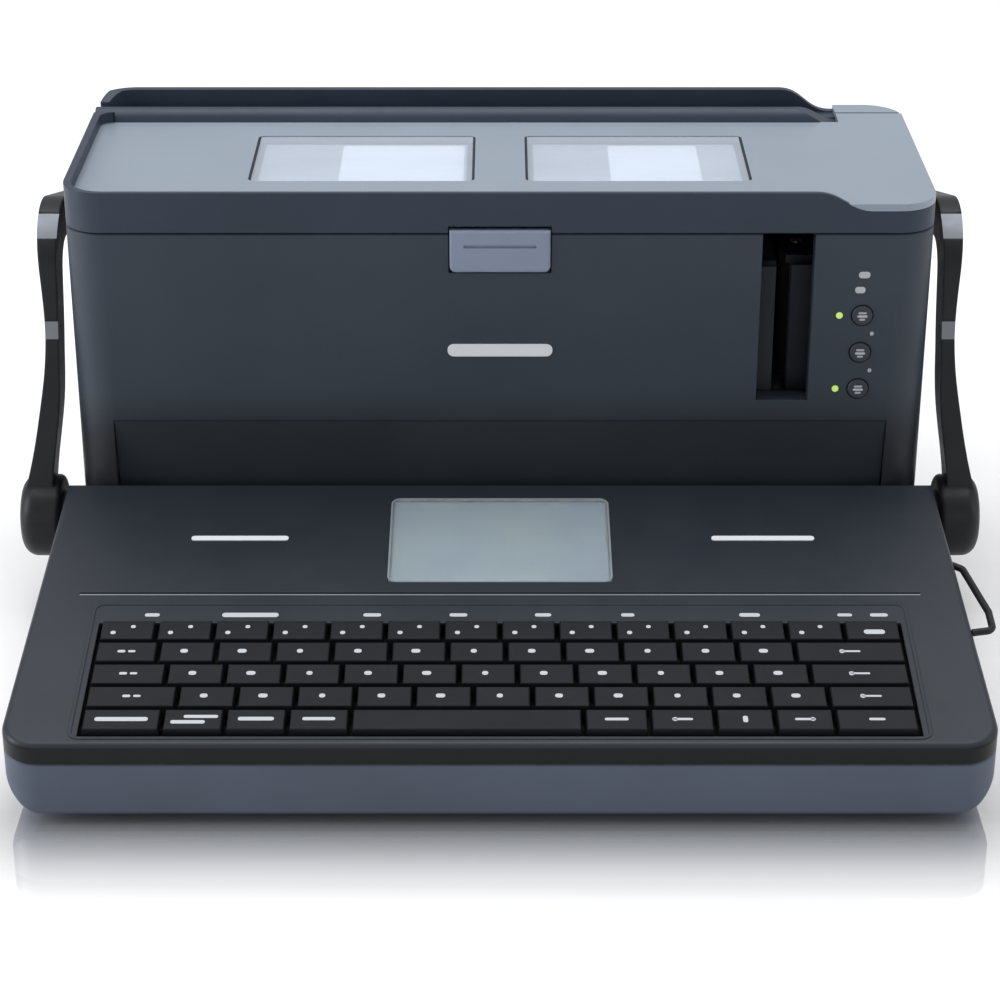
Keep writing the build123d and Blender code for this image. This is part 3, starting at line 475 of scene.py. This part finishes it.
def arrow_marks(index, count, width):
    """Dashes on the cursor keys."""
    bars = {0: [(0, 0, 7.6, 1.3)], 1: [(0, 0, 6.6, 1.1), (-2.4, 0, 1.4, 1.9)], 2: [(0, 0, 1.6, 3.2)],
            3: [(0, 0, 6.6, 1.1), (2.4, 0, 1.4, 1.9)], 4: [(0, 0, 5.2, 1.2)]}
    return bars[index]


def all_legends():
    """Marks on every key group but the space bar."""
    legends("number_keys", number_marks)
    for node in ("upper_letter_keys", "middle_letter_keys", "lower_letter_keys"):
        legends(node, letter_marks)
    legends("bottom_keys_left", word_marks)
    legends("bottom_keys_right", arrow_marks)


# ---- prints on the deck and the front -----------------------------------------------------
def strip_marks():
    """Small printed symbols in the strip above the number keys, each (x, width, height)."""
    strip_s = 68.2
    marks = [(-117.0, 5.0, 1.8), (-84.0, 19.0, 2.4), (-43.0, 6.0, 1.8), (-14.0, 6.0, 1.8), (14.5, 5.5, 1.8),
             (43.0, 4.5, 1.8), (84.0, 7.0, 2.0), (116.0, 5.0, 1.6), (127.5, 6.0, 1.8)]
    bm = bmesh.new()
    for x, w, h in marks:
        add_slab(bm, deck_point(x, strip_s, -INK_SINK), RIGHT, UPHILL, outline(w, h, h * 0.45, 4), INK)
    finish_piece(bm, "strip_symbols", "base", MATERIALS["print"])


def badges():
    """Plain blank badges, one on the front face and two on the deck."""
    front_z, deck_s = 103.4, 112.5
    bm = bmesh.new()
    add_slab(bm, Vector((0, FACE_Y + SINK * MM, front_z * MM)), RIGHT, UP, outline(37, 4.6, 2.2, 6), 0.5)
    for x, width in ((-91, 34), (92, 36)):
        add_slab(bm, deck_point(x, deck_s, -SINK), RIGHT, UPHILL, outline(width, 2.6, 1.2, 6), 0.35)
    finish_piece(bm, "blank_badges", "base", MATERIALS["badge"])


def display_bezel():
    """Thin pale line round the display window."""
    bm = bmesh.new()
    add_ring(bm, deck_point(0, 112.0, -0.1), RIGHT, UPHILL, width=77.4, height=50.4, radius=3.4,
             line=0.6, thickness=0.22)
    finish_piece(bm, "display_bezel", "base", MATERIALS["bezel"])


def key_field():
    """Dark raised line that frames the keys and the symbol strip, and a fine pale line above it, which is a
    painted highlight.
    """
    bm = bmesh.new()
    add_ring(bm, deck_point(0, 39.0, -SINK), RIGHT, UPHILL, width=275.0, height=72.0, radius=4.0,
             line=1.3, thickness=0.25)
    finish_piece(bm, "key_field_frame", "base", MATERIALS["plinth"])
    # painted highlight: a pale line standing for light caught along an edge of the deck
    bm = bmesh.new()
    add_slab(bm, deck_point(0, 79.6, -SINK), RIGHT, UPHILL, outline(286, 0.5, 0.2, 3), 0.12)
    finish_piece(bm, "deck_line_highlight", "base", MATERIALS["bezel"])


def front_symbols():
    """Printed dots beside the round buttons and bars on them."""
    face_sink = 0.03 * MM
    x = middle("power_button").x
    beside = ((131.6, 4.0, 2.4, 0), (126.0, 3.6, 2.4, -1.2), (109.6, 1.3, 1.6, 3.8), (95.6, 1.3, 1.6, 3.8))
    bm = bmesh.new()
    for z, w, h, dx in beside:
        place = Vector((x + dx * MM, FACE_Y + face_sink, z * MM))
        add_slab(bm, place, RIGHT, UP, outline(w, h, h * 0.45, 5), INK)
    finish_piece(bm, "front_symbols", "base", MATERIALS["print"])
    for node in ROUND_BUTTONS:
        centre = middle(node)
        centre.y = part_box(node)[0].y + face_sink
        bm = bmesh.new()
        for w, h, dz in ((3.0, 0.7, 1.1), (3.6, 0.8, -0.1), (2.2, 0.7, -1.3)):
            add_slab(bm, centre + UP * (dz * MM), RIGHT, UP, outline(w, h, 0.4, 4), INK)
        finish_piece(bm, node + "_symbol", node, MATERIALS["print"])


def window_gaskets():
    """Thin dark gaskets down both sides of each lid window."""
    lo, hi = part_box("lid_windows")
    pane_sides, width = (9.0, 89.0), 0.9            # from the middle of the lid
    shape = outline(width, (hi.y - lo.y) / MM - 1.0, 0.4, 3)
    bm = bmesh.new()
    for side in (-1, 1):
        for edge, inward in zip(pane_sides, (1, -1)):
            x = side * (edge + inward * width / 2) * MM
            place = Vector((x, (lo.y + hi.y) / 2, hi.z - SINK * MM))
            add_slab(bm, place, RIGHT, BACKWARD, shape, 0.35)
    finish_piece(bm, "window_gaskets", "lid", MATERIALS["gasket"])


def window_labels():
    """The pale patch seen in each lid window: a thin sheet under the pane, from left to right."""
    below = 0.35 * MM
    place = middle("lid_windows")
    place.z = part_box("lid_windows")[0].z - below
    bm = bmesh.new()
    for left, right in ((-57.5, -13.0), (39.5, 72.0)):
        place.x = (left + right) / 2 * MM
        add_slab(bm, place, RIGHT, BACKWARD, outline(right - left, 43, 1.5, 4), 0.3)
    finish_piece(bm, "window_labels", "lid", MATERIALS["paper"])


# ---- back, sides and handle ---------------------------------------------------------------
LEFTWARD = -RIGHT                                   # to the right for someone behind the object
BACK_SKIN = BACK_Y - SINK * MM


def disc(bm, centre, right, up, radius, thickness):
    """A flat round head."""
    add_slab(bm, centre, right, up, outline(2 * radius, 2 * radius, radius * 0.999, 7), thickness)


def back_screws():
    """Cross-slotted screw heads on the back; the cross slots are dark raised slabs on the heads, painted
    shade for recessed slots.
    """
    heads, slot_shade = bmesh.new(), bmesh.new()
    for x, z in ((-138, 138), (138, 138), (138, 30), (-88, 30)):
        place = Vector((x * MM, BACK_SKIN, z * MM))
        disc(heads, place, LEFTWARD, UP, 3.4, 0.75)
        for across, tall in ((3.6, 0.8), (0.8, 3.6)):
            # painted shade: a dark slab on each head stands for the shaded cross slot
            add_slab(slot_shade, place, LEFTWARD, UP, outline(across, tall, 0.3, 3), 0.84)
    finish_piece(heads, "back_screw_heads", "base", MATERIALS["dark_steel"])
    finish_piece(slot_shade, "back_screw_slot_shade", "base", MATERIALS["gasket"])


def rating_plate():
    """Blank ruled plate in the middle of the back."""
    middle_z, line_pitch = 58, 8
    plate, lines = bmesh.new(), bmesh.new()
    add_slab(plate, Vector((0, BACK_SKIN, middle_z * MM)), LEFTWARD, UP, outline(74, 34, 2.0, 5), 0.22)
    finish_piece(plate, "rating_plate", "base", MATERIALS["badge"])
    for row in (-1, 0, 1):
        place = Vector((0, BACK_SKIN, (middle_z + row * line_pitch) * MM))
        add_slab(lines, place, LEFTWARD, UP, outline(66, 0.5, 0.2, 3), 0.27)
    finish_piece(lines, "rating_plate_lines", "base", MATERIALS["gasket"])


def door_ridges():
    """Thumb ridges near the top of the battery door."""
    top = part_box("battery_door")[1]
    ridges = bmesh.new()
    for step in range(5):
        place = Vector((middle("battery_door").x, top.y - SINK * MM, top.z - (6 + 3 * step) * MM))
        add_slab(ridges, place, LEFTWARD, UP, outline(20, 1.2, 0.55, 4), 0.55)
    finish_piece(ridges, "battery_door_ridges", "battery_door", MATERIALS["case"])


def side_details():
    """Moulded grip lines high on both sides of the rear cover."""
    lowest, pitch = 118, 4
    lo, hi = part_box("rear_cover")
    bm = bmesh.new()
    for side, x in ((-1, lo.x), (1, hi.x)):
        for step in range(5):
            place = Vector((x - side * SINK * MM, (lo.y + hi.y) / 2, (lowest + pitch * step) * MM))
            add_slab(bm, place, BACKWARD * side, UP, outline(46, 1.5, 0.7, 4), 0.5)
    finish_piece(bm, "side_grip_lines", "base", REAR_CASE)


def grip_ribs():
    """Raised ribs round the soft sleeve of the carrying bar."""
    lo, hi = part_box("bail_grip")
    centre = (lo + hi) / 2
    radius = (hi.z - lo.z) / 2
    pitch, steps = 6.2 * MM, 40
    profile = ((-1.1, -0.1), (-0.6, 0.40), (0.6, 0.40), (1.1, -0.1))   # along the bar, out of the sleeve
    bm = bmesh.new()
    for rib in range(-8, 9):
        rings = []
        for dx, out in profile:
            x, reach = centre.x + rib * pitch + dx * MM, radius + out * MM
            turns = [2 * math.pi * i / steps for i in range(steps)]
            rings.append([bm.verts.new((x, centre.y + reach * math.cos(a), centre.z + reach * math.sin(a)))
                          for a in turns])
        for low, high in zip(rings, rings[1:] + rings[:1]):
            join_rings(bm, low, high)
    finish_piece(bm, "grip_ribs", "bail", MATERIALS["rubber"])


# ---- stage --------------------------------------------------------------------------------
def floor_material():
    """Matt white with a polished strip in front of the object, which fades out forward and to the sides."""
    mat, tree, shader = new_material("floor_paper")
    shader.inputs["Base Color"].default_value = (0.80, 0.80, 0.81, 1)
    shader.inputs["Roughness"].default_value = 0.6
    shader.inputs["Specular IOR Level"].default_value = 0.2
    gloss = tree.nodes.new("ShaderNodeBsdfGlossy")
    gloss.inputs["Roughness"].default_value = 0.03
    gloss.inputs["Color"].default_value = (0.93, 0.94, 0.96, 1)
    place = tree.nodes.new("ShaderNodeNewGeometry")
    split = tree.nodes.new("ShaderNodeSeparateXYZ")
    tree.links.new(place.outputs["Position"], split.inputs[0])
    y, sideways = split.outputs["Y"], arithmetic(tree, "ABSOLUTE", split.outputs["X"])
    near = rise(tree, y, FRONT_Y - 62 * MM, FRONT_Y + 4 * MM, 0.0, 0.80)
    under = rise(tree, y, FRONT_Y + 8 * MM, FRONT_Y + 50 * MM, 1.0, 0.0, "LINEAR")
    beside = rise(tree, sideways, 150 * MM, 185 * MM, 1.0, 0.0)
    strip = arithmetic(tree, "MULTIPLY", arithmetic(tree, "MULTIPLY", near, under), beside)
    blend = tree.nodes.new("ShaderNodeMixShader")
    for place, source in enumerate((strip, shader.outputs[0], gloss.outputs[0])):
        tree.links.new(source, blend.inputs[place])
    sink = next(n for n in tree.nodes if n.type == "OUTPUT_MATERIAL")
    tree.links.new(blend.outputs[0], sink.inputs["Surface"])
    return mat


def floor():
    """Large floor, a little under the feet."""
    bpy.ops.mesh.primitive_plane_add(size=12, location=(0, 0, -0.3 * MM))
    plane = bpy.context.object
    plane.name = "floor"
    plane.data.materials.append(floor_material())


def area(name, place, target, size, power):
    """A soft rectangular light that points at a target."""
    data = bpy.data.lights.new(name, "AREA")
    data.shape = "RECTANGLE"
    data.size, data.size_y = size
    data.energy = power
    light = bpy.data.objects.new(name, data)
    bpy.context.scene.collection.objects.link(light)
    light.location = place
    direction = Vector(target) - Vector(place)
    light.rotation_euler = direction.to_track_quat("-Z", "Y").to_euler()


def lights():
    """Even white surroundings and four soft lights, the left one stronger than the right."""
    world = bpy.data.worlds.new("studio")
    bpy.context.scene.world = world
    world.use_nodes = True
    background = world.node_tree.nodes["Background"]
    background.inputs["Color"].default_value = (1.0, 1.0, 1.0, 1)
    background.inputs["Strength"].default_value = 0.55
    area("overhead", (0.0, 0.35, 1.5), (0, 0.05, 0.1), (1.8, 1.2), 24)
    area("left_soft", (-1.3, -0.25, 0.55), (0, 0, 0.1), (0.5, 0.9), 12)
    area("right_soft", (1.3, -0.25, 0.55), (0, 0, 0.1), (0.5, 0.9), 3)
    area("front_fill", (0.0, -1.6, 0.6), (0, 0, 0.08), (1.4, 0.6), 3)


def camera():
    """Camera in front of the tray, looking down a little."""
    sensor, focal = 36.0, 2.667                     # focal length in sensor widths
    in_front, height, tilt = 0.724, 0.465, 0.45
    data = bpy.data.cameras.new("camera")
    data.sensor_width = sensor
    data.lens = sensor * focal
    data.clip_start = 0.01
    eye = bpy.data.objects.new("camera", data)
    bpy.context.scene.collection.objects.link(eye)
    eye.location = (0.0, FRONT_Y - in_front, height)
    eye.rotation_euler = (math.radians(90) - tilt, 0, 0)
    bpy.context.scene.camera = eye
    bpy.context.scene.view_settings.view_transform = "Standard"


dress_frame()
all_legends()
strip_marks()
badges()
display_bezel()
front_symbols()
window_gaskets()
window_labels()
key_field()
back_screws()
rating_plate()
door_ridges()
side_details()
grip_ribs()
floor()
lights()
camera()
